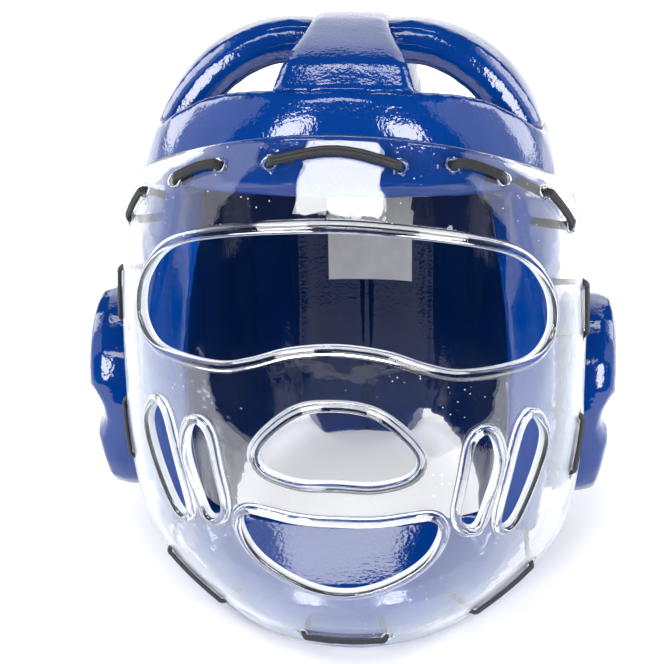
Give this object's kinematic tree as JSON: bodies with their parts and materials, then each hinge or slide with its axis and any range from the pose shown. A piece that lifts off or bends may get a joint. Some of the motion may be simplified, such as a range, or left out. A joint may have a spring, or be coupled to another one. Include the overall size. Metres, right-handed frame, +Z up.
{
  "type": "head guard with face shield",
  "caption": "Padded head guard of glossy blue dipped foam with crown openings, ear guards and a clear moulded face shield laced on with black elastic.",
  "frame": {"origin": "middle of the bottom of its box, on the surface that it stands on", "axes": "+Z up, the face looks along -Y, +X is the side on the right as seen from the front"},
  "size_m": [0.2418, 0.2664, 0.275],
  "materials": {
    "cheek_wall_left": "glossy blue vinyl-dipped foam",
    "cheek_wall_right": "glossy blue vinyl-dipped foam",
    "chin_guard": "glossy blue vinyl-dipped foam",
    "crown_arch_left": "glossy blue vinyl-dipped foam",
    "crown_arch_right": "glossy blue vinyl-dipped foam",
    "crown_strap": "glossy blue vinyl-dipped foam",
    "ear_guard_left": "glossy blue vinyl-dipped foam",
    "ear_guard_right": "glossy blue vinyl-dipped foam",
    "face_shield": "clear moulded polycarbonate",
    "forehead_band": "glossy blue vinyl-dipped foam",
    "label_patch": "blank woven patch",
    "lace_bottom": "ribbed black elastic",
    "lace_brow_left": "ribbed black elastic",
    "lace_brow_right": "ribbed black elastic",
    "lace_jaw_left": "ribbed black elastic",
    "lace_jaw_right": "ribbed black elastic",
    "lace_lower_left": "ribbed black elastic",
    "lace_lower_right": "ribbed black elastic",
    "lace_side_left": "ribbed black elastic",
    "lace_side_right": "ribbed black elastic",
    "lace_temple_left": "ribbed black elastic",
    "lace_temple_right": "ribbed black elastic",
    "lace_top": "ribbed black elastic",
    "rear_panel": "glossy blue vinyl-dipped foam",
    "rear_side_left": "glossy blue vinyl-dipped foam",
    "rear_side_right": "glossy blue vinyl-dipped foam"
  },
  "bodies": {
    "root": {"cheek_wall_left": "cheek_wall_left", "cheek_wall_right": "cheek_wall_right", "chin_guard": "chin_guard", "crown_arch_left": "crown_arch_left", "crown_arch_right": "crown_arch_right", "crown_strap": "crown_strap", "ear_guard_left": "ear_guard_left", "ear_guard_right": "ear_guard_right", "face_shield": "face_shield", "forehead_band": "forehead_band", "label_patch": "label_patch", "lace_bottom": "lace_bottom", "lace_brow_left": "lace_brow_left", "lace_brow_right": "lace_brow_right", "lace_jaw_left": "lace_jaw_left", "lace_jaw_right": "lace_jaw_right", "lace_lower_left": "lace_lower_left", "lace_lower_right": "lace_lower_right", "lace_side_left": "lace_side_left", "lace_side_right": "lace_side_right", "lace_temple_left": "lace_temple_left", "lace_temple_right": "lace_temple_right", "lace_top": "lace_top", "rear_panel": "rear_panel", "rear_side_left": "rear_side_left", "rear_side_right": "rear_side_right"}
  },
  "joints": []
}
